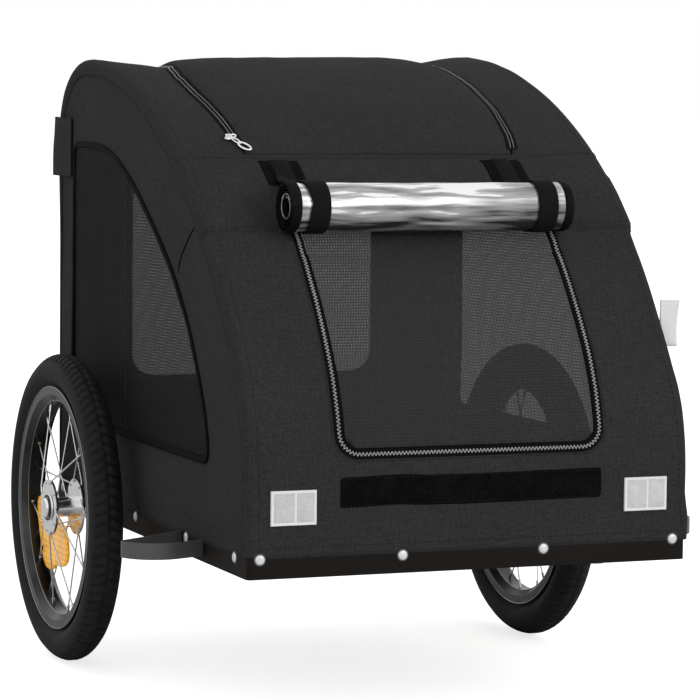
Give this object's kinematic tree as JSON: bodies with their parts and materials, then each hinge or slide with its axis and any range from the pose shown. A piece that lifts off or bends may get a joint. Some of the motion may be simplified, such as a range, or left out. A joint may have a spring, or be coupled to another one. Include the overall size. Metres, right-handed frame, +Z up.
{
  "type": "dog bike trailer",
  "caption": "Two-wheeled bicycle trailer for a dog, with a fabric cabin, mesh windows, zipped door and flaps, rolled rain cover and a drawbar that folds under the tray.",
  "frame": {"origin": "middle of the tray's front lower edge, where the trailer is held level", "axes": "+X to the trailer's left, +Y to its rear, +Z up"},
  "size_m": [0.7666, 0.798, 0.7879],
  "materials": {
    "tray_paint": "satin black-brown powder coat",
    "frame_paint": "grey powder coat",
    "cover_fabric": "dark melange woven polyester",
    "black_webbing": "black webbing and binding tape",
    "black_mesh": "open black mesh",
    "clear_film": "rolled clear film",
    "white_lens": "clear prismatic lens",
    "red_lens": "red prismatic lens",
    "amber_lens": "amber prismatic lens",
    "tyre_rubber": "black rubber",
    "rim_metal": "silver rim",
    "hub_chrome": "chromed steel",
    "spoke_steel": "zinc plated wire",
    "guard_paint": "dark grey satin"
  },
  "bodies": {
    "chassis": {"axle_left": "spoke_steel", "axle_receiver_left": "frame_paint", "axle_receiver_right": "frame_paint", "axle_right": "spoke_steel", "corner_tag": "black_webbing", "cover_front": "cover_fabric", "cover_rear": "cover_fabric", "cover_side_left": "cover_fabric", "cover_side_right": "cover_fabric", "cross_bar_front": "frame_paint", "cross_bar_rear": "frame_paint", "drawbar_bracket": "frame_paint", "drawbar_pin": "spoke_steel", "floor_tray": "tray_paint", "hook_strip": "black_webbing", "rain_cover_roll": "clear_film", "reflectors_front": "white_lens", "reflectors_rear": "red_lens", "roll_strap_left": "black_webbing", "roll_strap_right": "black_webbing", "side_frame_left": "frame_paint", "side_frame_right": "frame_paint", "wheel_guard_left": "guard_paint", "wheel_guard_right": "guard_paint", "window_binding_left": "black_webbing", "window_binding_right": "black_webbing", "window_mesh_left": "black_mesh", "window_mesh_right": "black_mesh"},
    "wheel_left": {"hub_left": "hub_chrome", "rim_left": "rim_metal", "spoke_reflector_left": "amber_lens", "spokes_left": "spoke_steel", "tyre_left": "tyre_rubber"},
    "wheel_right": {"hub_right": "hub_chrome", "rim_right": "rim_metal", "spoke_reflector_right": "amber_lens", "spokes_right": "spoke_steel", "tyre_right": "tyre_rubber"},
    "front_door": {"front_door": "cover_fabric", "front_door_mesh": "black_mesh"},
    "roof_flap": {"roof_flap": "cover_fabric"},
    "rear_flap": {"rear_flap": "cover_fabric", "rear_flap_mesh": "black_mesh"},
    "drawbar": {"drawbar": "frame_paint", "hitch_fork": "spoke_steel"}
  },
  "joints": [
    {"name": "wheel_left_spin", "type": "hinge", "parent": "chassis", "child": "wheel_left", "pos_m": [0.3346, 0.572, 0.0165], "axis": [1, 0, 0], "continuous": true},
    {"name": "wheel_right_spin", "type": "hinge", "parent": "chassis", "child": "wheel_right", "pos_m": [-0.3346, 0.572, 0.0165], "axis": [1, 0, 0], "continuous": true},
    {"name": "front_door_hinge", "type": "hinge", "parent": "chassis", "child": "front_door", "pos_m": [0, 0.13486, 0.374], "axis": [-1, 0, 0], "range_deg": [0, 80]},
    {"name": "roof_flap_hinge", "type": "hinge", "parent": "chassis", "child": "roof_flap", "pos_m": [0, 0.2753, 0.4901], "axis": [1, 0, 0], "range_deg": [0, 70]},
    {"name": "rear_flap_hinge", "type": "hinge", "parent": "roof_flap", "child": "rear_flap", "pos_m": [0, 0.77, 0.471], "axis": [1, 0, 0], "range_deg": [0, 100]},
    {"name": "drawbar_swing", "type": "hinge", "parent": "chassis", "child": "drawbar", "pos_m": [0.246, 0.165, -0.0135], "axis": [0, 0, 1], "range_deg": [0, 136]}
  ]
}
